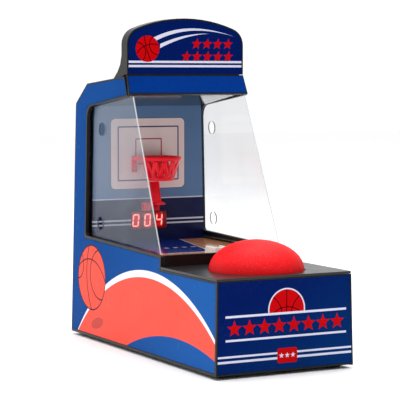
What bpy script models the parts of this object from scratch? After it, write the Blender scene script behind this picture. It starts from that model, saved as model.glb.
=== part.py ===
"""Desktop basketball hoop machine: a small arcade cabinet with a push-button launcher, a hoop and a score display.

+Z is up, +X is to the player's right and the front faces -Y. The origin is the centre of the machine's footprint,
on the surface that it stands on. All lengths are in metres.
"""

import math

import bmesh
import bpy
from mathutils import Matrix, Vector

MM = 0.001
GAP = 0.3 * MM  # between pieces that touch
SEAT_GAP = 0.1 * MM  # under the marquee, which rests on the roof

# Cabinet
BODY_W = 105 * MM
BODY_D = 229.4 * MM
FOOT_H = 2.3 * MM
WALL_T = 2.6 * MM
PANEL_T = 2.4 * MM
SIDE_LEAN = 0.021  # each side wall leans inwards by this much for each metre of height
END_LEAN = 0.013  # and so do the front and the back
FRONT = -BODY_D / 2
BACK = BODY_D / 2
BASE_Z = FOOT_H
RECESS = 0.7 * MM
DECAL_T = 0.4 * MM
RIM_W = 1.9 * MM  # black rim round the side sheets, along their window, front and bottom
THIN_RIM_W = 1.0 * MM  # and along their other edges, and round the other sheets
HAIR_RIM_W = 0.4 * MM  # and where the marquee, its apron and the side walls meet

# Console at the front
DECK_Z = 65.6 * MM
DECK_T = 1.6 * MM
DECK_END = -33.2 * MM
LIP_TOP = 73.3 * MM
LIP_T = 2.3 * MM
BUTTON_Y = -75.6 * MM
DOME_R = 32.4 * MM
DOME_H = 20.2 * MM
DOME_T = 2.0 * MM
PIT_R = 33.1 * MM

# Play space
COURT_BACK_Z = 71.0 * MM
COURT_FRONT_Z = 69.5 * MM
WALL_Y = 87.4 * MM  # front face of the back wall
CEILING_FRONT = (21.5 * MM, 182.7 * MM)
CEILING_BACK_Z = 173.1 * MM
WINDOW_BACK = 91.5 * MM
WINDOW_LOW_FRONT_Z = 73.3 * MM
WINDOW_LOW_BACK_Z = 76.9 * MM
WINDOW_TOP_BACK_Z = 172.6 * MM
GUARD_T = 1.0 * MM
FINGER_HOLE_R = 4.9 * MM
FINGER_HOLE_Y = 72.2 * MM
FINGER_HOLE_Z = (87.4 * MM, 156.5 * MM)

# Roof and marquee
ROOF_FRONT = (25.0 * MM, 195.9 * MM)
ROOF_BACK = (92.5 * MM, 190.0 * MM)
CHAMFER_Z = 175.0 * MM
FOLD = (26.6 * MM, 196.3 * MM)  # where the marquee's upright face meets its slanted apron
APRON_LOW = (21.1 * MM, 182.5 * MM)
APRON_HALF_W = 48.2 * MM  # at its lower edge
HEADER_TOP = 237.0 * MM
HEADER_HALF_W = 47.2 * MM
HEADER_DEPTH = 9.4 * MM
HEADER_ARCH_R = 109 * MM
HEADER_CORNER_R = 12.5 * MM

# Hoop, score lever and display
RIM_Y = 67.5 * MM
RIM_TOP = 135.7 * MM
RIM_H = 3.0 * MM
RIM_R = 15.3 * MM
RIM_WIDTH = 2.0 * MM
NET_BOTTOM = 117.8 * MM
NET_TOP_R = 14.0 * MM
NET_BOTTOM_R = 9.8 * MM
NET_T = 1.3 * MM
NET_SLOTS = 12
BRACKET_HALF_W = 14.7 * MM
HOOP_PLATE_LOW = 123.6 * MM
HOOP_PLATE_W = 3.6 * MM
LEVER_AXIS = (84.8 * MM, 97.0 * MM)
LEVER_PIN_R = 0.8 * MM
LEVER_W = 7.4 * MM
LEVER_STEM_W = 2.2 * MM
LEVER_BRACKET_HALF_W = 6.5 * MM
LEVER_BRACKET_Z = (94.0 * MM, 100.2 * MM)
# The score lever in Y and Z: a column under the net, a tongue that the ball strikes, and a tail behind the wall
LEVER_OUTLINE = (
    (79.2 * MM, 116.4 * MM), (77.6 * MM, 116.2 * MM), (73.8 * MM, 101.6 * MM), (67.4 * MM, 100.9 * MM),
    (67.4 * MM, 99.5 * MM), (77.2 * MM, 99.6 * MM), (79.2 * MM, 96.6 * MM), (92.4 * MM, 95.8 * MM),
    (92.4 * MM, 97.6 * MM), (87.0 * MM, 98.6 * MM), (81.6 * MM, 99.6 * MM), (77.6 * MM, 102.6 * MM),
    (80.6 * MM, 115.6 * MM),
)
DISPLAY_HALF_W = 15.1 * MM
DISPLAY_Z = (79.8 * MM, 93.5 * MM)

# Launcher linkage under the deck, as (y, z)
ROCKER_AXIS = (-51.0 * MM, 46.0 * MM)
ROCKER_FRONT = (-75.6 * MM, 37.0 * MM)
ROCKER_BACK = (-27.4 * MM, 54.0 * MM)
LAUNCH_AXIS = (-15.0 * MM, 62.0 * MM)
LAUNCH_HALF_W = 6.0 * MM
LAUNCH_FRONT = -29.0 * MM
LAUNCH_BACK = -15.0 * MM
LAUNCH_TOP = 76.1 * MM
PIN_R = 1.5 * MM
PIN_PLAY = 0.3 * MM

PLUNGER_LOW = 42.0 * MM
BRIDGE_Z = (47.0 * MM, 49.0 * MM)
SPRING_R = 7.6 * MM
SPRING_WIRE_R = 0.6 * MM
STAND_X = (6.6 * MM, 9.4 * MM)  # inner and outer faces of a stand's posts
WELL_HALF_W = 8 * MM
WELL_BACK = -8 * MM

# Electronics behind the back wall, and the power switch
BOARD_HALF_W = 30 * MM
BOARD_Z = (75 * MM, 140 * MM)
BOARD_T = 1.6 * MM
BUZZER_Z = 130 * MM
BUZZER_R = 8 * MM
BUZZER_H = 6 * MM
SOUND_HOLES = 6
SOUND_RING_R = 5 * MM
SWITCH_X = 36 * MM
SWITCH_Z = 29 * MM

# Feet and screws
FOOT_X = 43.0 * MM
FOOT_HALF = 4.6 * MM
FOOT_FROM_FRONT = 12 * MM
FOOT_FROM_BACK = 14 * MM
COVER_SCREW_X = 40 * MM
COVER_SCREW_Z = (("low", 64 * MM), ("high", 165 * MM))

# Batteries (AAA cells) in the back
CELL_R = 5.2 * MM
CELL_L = 44.5 * MM
CELL_Y = 101.0 * MM
CELL_Z = (17.5 * MM, 28.7 * MM, 39.9 * MM)
DOOR_HALF_W = 25.5 * MM
DOOR_Z = (10.5 * MM, 46.9 * MM)

ALONG_X = (math.pi / 2, 0, math.pi / 2)  # an outline drawn in Y and Z, extruded along X
ALONG_Y = (math.pi / 2, 0, 0)  # an outline drawn in X and Z, extruded along -Y


def start_scene():
    for obj in list(bpy.data.objects):
        bpy.data.objects.remove(obj, do_unlink=True)
    machine = bpy.data.collections.new("basketball_hoop_machine")
    cutters = bpy.data.collections.new("cutters")
    bpy.context.scene.collection.children.link(machine)
    bpy.context.scene.collection.children.link(cutters)
    cutters.hide_render = True
    return machine, cutters


MACHINE, CUTTERS = start_scene()


def material(name, colour, roughness=0.4, metallic=0.0, alpha=1.0, coat=0.0):
    mat = bpy.data.materials.new(name)
    mat.use_nodes = True
    shader = mat.node_tree.nodes["Principled BSDF"]
    shader.inputs["Base Color"].default_value = (*colour, 1)
    shader.inputs["Roughness"].default_value = roughness
    shader.inputs["Metallic"].default_value = metallic
    shader.inputs["Alpha"].default_value = alpha
    shader.inputs["Coat Weight"].default_value = coat
    mat.diffuse_color = (*colour, alpha)
    return mat


BLACK = material("black_plastic", (0.012, 0.012, 0.013), 0.35)
SIDE_PRINT = material("side_print", (0.01, 0.1, 0.36), 0.3, coat=0.3)
FRONT_PRINT = material("front_print", (0.003, 0.02, 0.14), 0.3, coat=0.3)
HEADER_PRINT = material("header_print", (0.003, 0.015, 0.11), 0.3, coat=0.3)
COURT_PRINT = material("court_print", (0.05, 0.05, 0.12), 0.3)
WALL_PRINT = material("wall_print", (0.06, 0.12, 0.25), 0.35)
RED_GLOSS = material("red_plastic", (0.62, 0.01, 0.015), 0.25)
BUTTON_RED = material("button_red", (0.75, 0.03, 0.03), 0.4)
CLEAR = material("clear_sheet", (0.85, 0.9, 0.95), 0.05, alpha=0.2)
LENS = material("display_lens", (0.08, 0.003, 0.003), 0.1, alpha=0.8)
WHITE = material("white_plastic", (0.75, 0.75, 0.74), 0.35)
RUBBER = material("rubber", (0.015, 0.015, 0.015), 0.85)
STEEL = material("steel", (0.6, 0.6, 0.6), 0.3, metallic=1.0)
BOARD_GREEN = material("circuit_board", (0.01, 0.14, 0.05), 0.45)
CELL_SKIN = material("battery_skin", (0.05, 0.25, 0.1), 0.35)


def link(obj, mat):
    MACHINE.objects.link(obj)
    obj.data.materials.clear()
    obj.data.materials.append(mat)
    return obj


def as_cutter(obj):
    """Moves an object to the cutters' collection, out of the model itself."""
    for collection in list(obj.users_collection):
        collection.objects.unlink(obj)
    CUTTERS.objects.link(obj)
    obj.hide_render = True
    obj.display_type = "WIRE"
    return obj


def smooth(obj, angle=35):
    obj.data.shade_smooth()
    obj.data.set_sharp_from_angle(angle=math.radians(angle))


def box(name, low, high, mat, bevel=0.0, segments=2):
    """A box between two corners, with rounded edges if bevel is given."""
    mesh = bpy.data.meshes.new(name)
    bm = bmesh.new()
    bmesh.ops.create_cube(bm, size=1.0)
    size = Vector(high) - Vector(low)
    bmesh.ops.scale(bm, vec=size, verts=bm.verts)
    bm.to_mesh(mesh)
    bm.free()
    obj = link(bpy.data.objects.new(name, mesh), mat)
    obj.location = (Vector(low) + Vector(high)) / 2
    if bevel:
        round_edges(obj, bevel, segments)
    return obj


def round_edges(obj, width, segments=2, angle=40):
    mod = obj.modifiers.new("Rounded edges", "BEVEL")
    mod.width = width
    mod.segments = segments
    mod.limit_method = "ANGLE"
    mod.angle_limit = math.radians(angle)


def cylinder(name, radius, depth, location, rotation, mat, sides=20):
    mesh = bpy.data.meshes.new(name)
    bm = bmesh.new()
    bmesh.ops.create_cone(bm, cap_ends=True, segments=sides, radius1=radius, radius2=radius, depth=depth)
    bm.to_mesh(mesh)
    bm.free()
    obj = link(bpy.data.objects.new(name, mesh), mat)
    obj.location = location
    obj.rotation_euler = rotation
    smooth(obj)
    return obj


def turned(name, profile, location, mat, sides=48):
    """A solid of revolution about Z. The profile (radius, z) runs down its outer side, top to bottom."""
    mesh = bpy.data.meshes.new(name)
    count = len(profile)
    closed = profile[0][0] > 0
    edges = [(i, i + 1) for i in range(count - 1)]
    if closed:
        edges.append((count - 1, 0))
    mesh.from_pydata([(r, 0, z) for r, z in profile], edges, [])
    obj = link(bpy.data.objects.new(name, mesh), mat)
    obj.location = location
    mod = obj.modifiers.new("Turn", "SCREW")
    mod.steps = sides
    mod.render_steps = sides
    mod.use_merge_vertices = True
    mod.merge_threshold = 0.00001
    mod.use_smooth_shade = True
    return obj


def flat(name, outline, thickness, location, rotation, mat):
    """A flat plate: a closed outline in its own plane, extruded evenly to both sides of it, made a mesh."""
    curve = bpy.data.curves.new(name, "CURVE")
    curve.dimensions = "2D"
    curve.fill_mode = "BOTH"
    curve.extrude = thickness / 2
    spline = curve.splines.new("POLY")
    spline.points.add(len(outline) - 1)
    for point, (a, b) in zip(spline.points, outline):
        point.co = (a, b, 0, 1)
    spline.use_cyclic_u = True
    obj = bpy.data.objects.new(name, curve)
    MACHINE.objects.link(obj)
    obj.location = location
    obj.rotation_euler = rotation
    return made_mesh(obj, mat)


def made_mesh(obj, mat):
    """Turns an object, with its modifiers, into a plain mesh in world space."""
    bpy.context.view_layer.update()
    evaluated = obj.evaluated_get(bpy.context.evaluated_depsgraph_get())
    mesh = bpy.data.meshes.new_from_object(evaluated)
    mesh.transform(obj.matrix_world)
    name = obj.name
    bpy.data.objects.remove(obj, do_unlink=True)
    bm = bmesh.new()
    bm.from_mesh(mesh)
    bmesh.ops.remove_doubles(bm, verts=bm.verts, dist=0.00001)
    bm.to_mesh(mesh)
    bm.free()
    mesh.name = name
    return link(bpy.data.objects.new(name, mesh), mat)


def boolean(obj, other, operation):
    mod = obj.modifiers.new(operation.title(), "BOOLEAN")
    mod.operation = operation
    mod.solver = "EXACT"
    mod.object = other
    as_cutter(other)


def cut(obj, other):
    boolean(obj, other, "DIFFERENCE")


def join(obj, other):
    boolean(obj, other, "UNION")


def rounded(corners, arc_steps=4):
    """The outline through corners given as (a, b, radius), with an arc in place of each corner that has a radius."""
    outline = []
    count = len(corners)
    for i, (a, b, radius) in enumerate(corners):
        here = Vector((a, b))
        if radius == 0:
            outline.append((a, b))
            continue
        before = (Vector(corners[i - 1][:2]) - here).normalized()
        after = (Vector(corners[(i + 1) % count][:2]) - here).normalized()
        half = before.angle(after) / 2
        centre = here + (before + after).normalized() * radius / math.sin(half)
        start = here + before * radius / math.tan(half) - centre
        turn = start.angle_signed(here + after * radius / math.tan(half) - centre)
        for step in range(arc_steps + 1):
            spoke = start.copy()
            spoke.rotate(Matrix.Rotation(-turn * step / arc_steps, 2))
            outline.append(tuple(centre + spoke))
    return outline


def inset(corners, widths):
    """The same corners with each edge moved inwards by its own width, for an outline that runs anticlockwise.
    A corner's width is that of the edge which leaves it."""
    moved = []
    count = len(corners)
    for i, (a, b, radius) in enumerate(corners):
        here = Vector((a, b))
        into = (here - Vector(corners[i - 1][:2])).normalized()
        out = (Vector(corners[(i + 1) % count][:2]) - here).normalized()
        before, after = Vector((-into.y, into.x)), Vector((-out.y, out.x))
        overlap = before.dot(after)
        along_before = (widths[i - 1] - widths[i] * overlap) / (1 - overlap ** 2)
        along_after = (widths[i] - widths[i - 1] * overlap) / (1 - overlap ** 2)
        shift = before * along_before + after * along_after
        moved.append((a + shift.x, b + shift.y, max(radius - max(widths[i - 1], widths[i]), 0)))
    return moved


def lean_sideways(obj, side):
    """Shears a piece that was made upright, so that it leans inwards with the side wall."""
    for vertex in obj.data.vertices:
        vertex.co.x -= side * SIDE_LEAN * (vertex.co.z - BASE_Z)


def lean_back(obj):
    for vertex in obj.data.vertices:
        vertex.co.y += END_LEAN * (vertex.co.z - BASE_Z)


def inner_half_width(z, clear=GAP):
    """Half the width between the side walls at a height."""
    return BODY_W / 2 - WALL_T - clear - SIDE_LEAN * (z - BASE_Z)


def fit_between_walls(obj, clear=GAP):
    """Moves the ends of a panel that was made 2 m wide to the leaning side walls."""
    for vertex in obj.data.vertices:
        vertex.co.x = math.copysign(inner_half_width(vertex.co.z, clear), vertex.co.x)


def panel(name, outline, mat, clear=GAP):
    """A panel with this outline in Y and Z, from one side wall to the other."""
    obj = flat(name, outline, 2.0, (0, 0, 0), ALONG_X, mat)
    fit_between_walls(obj, clear)
    return obj


def sheet_outline(points, thickness):
    """A closed outline for a sheet of this thickness, whose outer side runs through the points from back to front."""
    below = []
    for i, (y, z) in enumerate(points):
        into = Vector(points[i]) - Vector(points[i - 1]) if i else Vector(points[1]) - Vector(points[0])
        last = i == len(points) - 1
        out = Vector(points[i]) - Vector(points[i - 1]) if last else Vector(points[i + 1]) - Vector(points[i])
        normals = [Vector((-step.y, step.x)).normalized() for step in (into, out)]
        shift = (normals[0] + normals[1]) * thickness / (1 + normals[0].dot(normals[1]))
        below.append((y + shift.x, z + shift.y))
    return list(points) + below[::-1]


def end_y(sign, z):
    """The outer face of the front (sign -1) or the back (sign 1) at a height."""
    return sign * (BODY_D / 2 - END_LEAN * (z - BASE_Z))


# ---------------------------------------------------------------- cabinet

CONSOLE_TOP = DECK_Z - DECK_T - GAP


def apron_frame():
    """The directions down the apron's face and straight through it, in (y, z)."""
    down = (Vector(APRON_LOW) - Vector(FOLD)).normalized()
    return down, Vector((-down.y, down.x))


def behind_apron(point):
    """The place just behind the apron's back, opposite a point of its face."""
    _, through = apron_frame()
    return Vector(point) + through * (PANEL_T + GAP)


def side_rims(extra=0.0):
    """The rim along each edge of the side wall, from the bottom edge on in the order of side_corners()."""
    hair, thin, wide = HAIR_RIM_W + extra, THIN_RIM_W + extra, RIM_W + extra
    return [wide, thin, thin, thin, hair, thin, wide, wide, wide, thin, wide]


def side_corners():
    """The C-shaped side wall, anticlockwise in (y, z), as corners with radii."""
    return [
        (end_y(-1, BASE_Z), BASE_Z, 0),
        (end_y(1, BASE_Z), BASE_Z, 0),
        (end_y(1, CHAMFER_Z), CHAMFER_Z, 3 * MM),
        (*ROOF_BACK, 3 * MM),
        (*behind_apron(FOLD), 0),
        (*behind_apron(APRON_LOW), 0),
        (WINDOW_BACK, WINDOW_TOP_BACK_Z, 9 * MM),
        (WINDOW_BACK, WINDOW_LOW_BACK_Z, 3 * MM),
        (DECK_END, WINDOW_LOW_FRONT_Z, 1.5 * MM),
        (DECK_END, CONSOLE_TOP, 0),
        (end_y(-1, CONSOLE_TOP), CONSOLE_TOP, 0),
    ]


def make_side(side, word):
    outer = side * BODY_W / 2
    wall = flat(f"side_wall_{word}", rounded(side_corners()), WALL_T,
                (outer - side * WALL_T / 2, 0, 0), ALONG_X, BLACK)
    pocket = flat(f"side_pocket_{word}", rounded(inset(side_corners(), side_rims())), 2 * RECESS,
                  (outer, 0, 0), ALONG_X, BLACK)
    cut(wall, pocket)
    wall = made_mesh(wall, BLACK)
    decal_middle = outer - side * (RECESS - GAP - DECAL_T / 2)
    decal = flat(f"side_decal_{word}", rounded(inset(side_corners(), side_rims(GAP))), DECAL_T,
                 (decal_middle, 0, 0), ALONG_X, SIDE_PRINT)
    for piece in (wall, decal):
        lean_sideways(piece, side)
    return wall


def make_guard(side, word):
    """The clear side sheet, with a free slanted front edge and two finger holes."""
    middle = side * (BODY_W / 2 - WALL_T - GAP - GUARD_T / 2)
    under_apron = APRON_LOW[1] - 1.5 * MM
    corners = [
        (-27.2 * MM, 72.3 * MM),
        (96.0 * MM, 72.3 * MM),
        (96.0 * MM, 177.2 * MM),
        (26.3 * MM, 185.0 * MM),
        (24.6 * MM, under_apron),
        (20.6 * MM, under_apron),
    ]
    guard = flat(f"guard_{word}", corners, GUARD_T, (middle, 0, 0), ALONG_X, CLEAR)
    for level, z in enumerate(FINGER_HOLE_Z):
        hole = cylinder(f"finger_hole_{word}_{level}", FINGER_HOLE_R, 4 * GUARD_T,
                        (middle, FINGER_HOLE_Y, z), (0, math.pi / 2, 0), CLEAR, sides=28)
        cut(guard, hole)
    guard = made_mesh(guard, CLEAR)
    lean_sideways(guard, side)


def front_slice(name, start, end, rim, mat):
    """A slice across the whole front, between two depths, with a rim left free round it."""
    low = BASE_Z + GAP + rim
    high = CONSOLE_TOP - rim / 2
    piece = panel(name, [(start, low), (end, low), (end, high), (start, high)], mat, rim - WALL_T)
    lean_back(piece)
    return piece


def make_front(walls):
    """The front panel between the side walls, and its printed sheet, which reaches over the walls' front edges."""
    low = BASE_Z + GAP
    panel_corners = [(FRONT, low), (FRONT + PANEL_T, low), (FRONT + PANEL_T, CONSOLE_TOP), (FRONT, CONSOLE_TOP)]
    front = panel("front_panel", panel_corners, BLACK)
    lean_back(front)
    pocket = front_slice("front_pocket", FRONT - RECESS, FRONT + RECESS, THIN_RIM_W, BLACK)
    for piece in (front, *walls):
        cut(piece, pocket)
    decal_back = FRONT + RECESS - GAP
    front_slice("front_decal", decal_back - DECAL_T, decal_back, THIN_RIM_W + GAP, FRONT_PRINT)


def make_base():
    inside_front = FRONT + PANEL_T + 1.2 * MM
    inside_back = BACK - PANEL_T - 1.2 * MM
    half = inner_half_width(BASE_Z + PANEL_T)
    box("base_plate", (-half, inside_front, BASE_Z), (half, inside_back, BASE_Z + PANEL_T), BLACK)
    for side, word in ((-1, "left"), (1, "right")):
        for end, place in ((FRONT + FOOT_FROM_FRONT, "front"), (BACK - FOOT_FROM_BACK, "back")):
            box(f"foot_{place}_{word}", (side * FOOT_X - FOOT_HALF, end - FOOT_HALF, 0),
                (side * FOOT_X + FOOT_HALF, end + FOOT_HALF, FOOT_H - GAP), RUBBER, 0.8 * MM)


def make_deck():
    """The console's top, with the round pit for the button."""
    low = DECK_Z - DECK_T
    half = BODY_W / 2 - SIDE_LEAN * (DECK_Z - BASE_Z)
    front = end_y(-1, DECK_Z)
    corners = [
        (-half, front, 0.8 * MM),
        (half, front, 0.8 * MM),
        (half, DECK_END - GAP, 0),
        (-half, DECK_END - GAP, 0),
    ]
    deck = flat("console_deck", rounded(corners), DECK_T, (0, 0, low + DECK_T / 2), (0, 0, 0), BLACK)
    cut(deck, cylinder("button_pit", PIT_R, 20 * MM, (0, BUTTON_Y, DECK_Z), (0, 0, 0), BLACK, sides=64))


def court_z(y):
    """The height of the court's surface, which falls gently towards the launcher."""
    share = (y - DECK_END) / (WALL_Y - DECK_END)
    return COURT_FRONT_Z + share * (COURT_BACK_Z - COURT_FRONT_Z)


def make_court():
    lip_front = DECK_END
    lip_back = lip_front + LIP_T
    panel("court_lip", [
        (lip_front, DECK_Z - 1.3 * MM),
        (lip_back, DECK_Z - 1.3 * MM),
        (lip_back, LIP_TOP),
        (lip_front, LIP_TOP),
    ], BLACK)
    start, end = lip_back + GAP, WALL_Y - GAP
    floor = panel("court_floor", [
        (start, court_z(start) - PANEL_T),
        (end, court_z(end) - PANEL_T),
        (end, court_z(end)),
        (start, court_z(start)),
    ], COURT_PRINT)
    well = box("launch_well", (-WELL_HALF_W, start - 5 * MM, 60 * MM), (WELL_HALF_W, WELL_BACK, 80 * MM), BLACK)
    cut(floor, well)


def make_back_wall():
    """The printed wall behind the hoop, with openings for the display and the score lever's tail."""
    low, high = COURT_BACK_Z - 5 * MM, CEILING_BACK_Z + 3 * MM
    between_guards = GUARD_T + 2 * GAP
    wall = panel("back_wall", [
        (WALL_Y, low),
        (WALL_Y + PANEL_T, low),
        (WALL_Y + PANEL_T, high),
        (WALL_Y, high),
    ], WALL_PRINT, between_guards)
    cut(wall, box("display_opening", (-DISPLAY_HALF_W, WALL_Y - 5 * MM, DISPLAY_Z[0]),
                  (DISPLAY_HALF_W, WALL_Y + 8 * MM, DISPLAY_Z[1]), BLACK))
    cut(wall, box("tail_slot", (-2.4 * MM, WALL_Y - 5 * MM, 95.0 * MM),
                  (2.4 * MM, WALL_Y + 8 * MM, 99.6 * MM), BLACK))


def make_ceiling():
    front_y, front_z = CEILING_FRONT
    panel("ceiling_panel", [
        (front_y + 2.9 * MM, front_z),
        (WALL_Y - GAP, CEILING_BACK_Z),
        (WALL_Y - GAP, CEILING_BACK_Z + 1.8 * MM),
        (front_y + 3.7 * MM, front_z + 1.8 * MM),
    ], BLACK, GUARD_T + 2 * GAP)


def make_rear_cover():
    """The bent back and roof, with openings for the battery door and the power switch, and sound holes."""
    back_low = BASE_Z + GAP
    points = [
        (end_y(1, back_low) - GAP, back_low),
        (end_y(1, CHAMFER_Z) - GAP, CHAMFER_Z - GAP),
        (ROOF_BACK[0] - GAP, ROOF_BACK[1] - GAP),
        (ROOF_FRONT[0] + 4.4 * MM, ROOF_FRONT[1] - 0.7 * MM),
    ]
    cover = panel("rear_cover", sheet_outline(points, PANEL_T), BLACK)
    cut(cover, box("door_opening", (-DOOR_HALF_W, BACK - 9 * MM, DOOR_Z[0]),
                   (DOOR_HALF_W, BACK + 9 * MM, DOOR_Z[1]), BLACK))
    cut(cover, box("switch_slot", (SWITCH_X - 4 * MM, BACK - 9 * MM, SWITCH_Z - 1.7 * MM),
                   (SWITCH_X + 4 * MM, BACK + 9 * MM, SWITCH_Z + 1.7 * MM), BLACK))
    for index in range(SOUND_HOLES):
        turn = 2 * math.pi * index / SOUND_HOLES
        place = (SOUND_RING_R * math.cos(turn), BACK, BUZZER_Z + SOUND_RING_R * math.sin(turn))
        cut(cover, cylinder(f"sound_hole_{index}", 1.1 * MM, 20 * MM, place, ALONG_Y, BLACK, sides=10))


def header_outline(shrink, low):
    """The marquee's arched outline in X and Z, moved inwards by shrink and open-ended down to low."""
    half = HEADER_HALF_W - shrink
    top = HEADER_TOP - shrink
    arch_r = HEADER_ARCH_R - shrink
    corner_r = HEADER_CORNER_R - shrink
    centre_z = top - arch_r
    corner_x = half - corner_r
    corner_z = centre_z + math.sqrt((arch_r - corner_r) ** 2 - corner_x ** 2)
    meet = math.atan2(corner_z - centre_z, corner_x)
    right = [(half, low)]
    for step in range(7):
        turn = meet * step / 6
        right.append((corner_x + corner_r * math.cos(turn), corner_z + corner_r * math.sin(turn)))
    for step in range(1, 7):
        turn = meet + (math.pi / 2 - meet) * step / 6
        right.append((arch_r * math.cos(turn), centre_z + arch_r * math.sin(turn)))
    return right + [(-x, z) for x, z in right[-2::-1]]


def roof_z(y):
    """The height of the roof's upper face."""
    slope = (ROOF_BACK[1] - ROOF_FRONT[1]) / (ROOF_BACK[0] - ROOF_FRONT[0])
    return ROOF_FRONT[1] + slope * (y - ROOF_FRONT[0])


def make_header():
    """The arched marquee: a hollow shell that is open below, with its printed sheet, and the slanted apron."""
    fold_y, fold_z = FOLD
    middle = fold_y + HEADER_DEPTH / 2
    shell = flat("header_shell", header_outline(0, fold_z + GAP), HEADER_DEPTH, (0, middle, 0), ALONG_Y, BLACK)
    hollow = flat("header_hollow", header_outline(2 * MM, fold_z - 5 * MM), HEADER_DEPTH - 4 * MM,
                  (0, middle, 0), ALONG_Y, BLACK)
    pocket = flat("header_pocket", header_outline(THIN_RIM_W, fold_z + GAP + HAIR_RIM_W), 2 * RECESS,
                  (0, fold_y, 0), ALONG_Y, BLACK)
    flare_start, flare_end = middle + 4 * MM, middle + 17.9 * MM
    flare = flat("header_flare", [
        (middle, fold_z + GAP),
        (flare_start, roof_z(flare_start) + SEAT_GAP),
        (flare_end, roof_z(flare_end) + SEAT_GAP),
        (middle + 11.5 * MM, fold_z + 2.4 * MM),
        (middle + 7 * MM, fold_z + 7.5 * MM),
        (middle + 4.4 * MM, fold_z + 15 * MM),
        (middle, fold_z + 15 * MM),
    ], 2 * HEADER_HALF_W, (0, 0, 0), ALONG_X, BLACK)
    join(shell, flare)
    cut(shell, hollow)
    cut(shell, pocket)
    decal_y = fold_y + RECESS - GAP - DECAL_T / 2
    sheet = header_outline(THIN_RIM_W + GAP, fold_z + GAP + HAIR_RIM_W + GAP)
    flat("header_decal", sheet, DECAL_T, (0, decal_y, 0), ALONG_Y, HEADER_PRINT)
    make_apron()


def slab(name, rims, front, back, mat):
    """A slice of the apron, from one depth behind its face to another, with rims left free above, below and beside
    it. The apron is as wide as the marquee above and widens downwards."""
    down, through = apron_frame()
    top_rim, low_rim, side_rim = rims
    start, end = Vector(FOLD) + down * top_rim, Vector(APRON_LOW) - down * low_rim
    corners = [start + through * front, end + through * front, end + through * back, start + through * back]
    piece = flat(name, [tuple(corner) for corner in corners], 2.0, (0, 0, 0), ALONG_X, mat)
    for vertex in piece.data.vertices:
        share = (vertex.co.z - APRON_LOW[1]) / (FOLD[1] - APRON_LOW[1])
        half = APRON_HALF_W + share * (HEADER_HALF_W - APRON_HALF_W) - side_rim
        vertex.co.x = math.copysign(half, vertex.co.x)
    return piece


def make_apron():
    """The marquee's lower face, which slants forwards as it goes down to the ceiling's front edge."""
    apron = slab("header_apron", (0, 0, 0), 0, PANEL_T, BLACK)
    rims = HAIR_RIM_W, THIN_RIM_W, HAIR_RIM_W
    cut(apron, slab("apron_pocket", rims, -RECESS, RECESS, BLACK))
    sheet_rims = [rim + GAP for rim in rims]
    slab("apron_decal", sheet_rims, RECESS - GAP - DECAL_T, RECESS - GAP, HEADER_PRINT)


# ---------------------------------------------------------------- hoop, score lever and display

def make_hoop():
    """The rim with its slotted net basket, and the bracket that holds it to the back wall."""
    z_rim_low = RIM_TOP - RIM_H
    inner_top = RIM_R - RIM_WIDTH
    profile = [
        (inner_top, RIM_TOP),
        (RIM_R, RIM_TOP),
        (RIM_R, z_rim_low),
        (NET_TOP_R, z_rim_low),
        (NET_BOTTOM_R, NET_BOTTOM),
        (NET_BOTTOM_R - NET_T, NET_BOTTOM),
        (NET_TOP_R - NET_T, z_rim_low),
    ]
    hoop = turned("hoop", [(r, z - RIM_TOP) for r, z in profile], (0, RIM_Y, RIM_TOP), RED_GLOSS, sides=48)
    slot_top = z_rim_low - 1.2 * MM
    slot_low = NET_BOTTOM + 1.6 * MM
    for index in range(NET_SLOTS):
        turn = 2 * math.pi * (index + 0.5) / NET_SLOTS
        slot = box(f"net_slot_{index}", (7 * MM, -1.9 * MM, slot_low), (20 * MM, 1.9 * MM, slot_top), BLACK)
        middle = Vector((13.5 * MM, 0, (slot_low + slot_top) / 2))
        middle.rotate(Matrix.Rotation(turn, 3, "Z"))
        slot.location = middle + Vector((0, RIM_Y, 0))
        slot.rotation_euler.z = turn
        cut(hoop, slot)
    make_hoop_bracket(z_rim_low)


def make_hoop_bracket(low):
    wall = WALL_Y - GAP
    bracket = box("hoop_bracket", (-BRACKET_HALF_W, RIM_Y + 4 * MM, low), (BRACKET_HALF_W, wall, RIM_TOP), RED_GLOSS)
    for side in (-1, 1):
        ends = sorted((side * BRACKET_HALF_W, side * (BRACKET_HALF_W - HOOP_PLATE_W)))
        plate = box(f"bracket_plate_{side}", (ends[0], wall - 2.4 * MM, HOOP_PLATE_LOW),
                    (ends[1], wall, low + 1 * MM), RED_GLOSS)
        join(bracket, plate)
    cut(bracket, cylinder("rim_seat", RIM_R + GAP, 12 * MM, (0, RIM_Y, RIM_TOP), (0, 0, 0), RED_GLOSS, sides=48))
    for side, word in ((-1, "left"), (1, "right")):
        x = side * (BRACKET_HALF_W - HOOP_PLATE_W / 2)
        place = (x, wall - 2.4 * MM - GAP - 0.4 * MM, HOOP_PLATE_LOW + 2.9 * MM)
        cylinder(f"bracket_screw_{word}", 1.3 * MM, 0.8 * MM, place, ALONG_Y, STEEL, sides=16)


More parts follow.
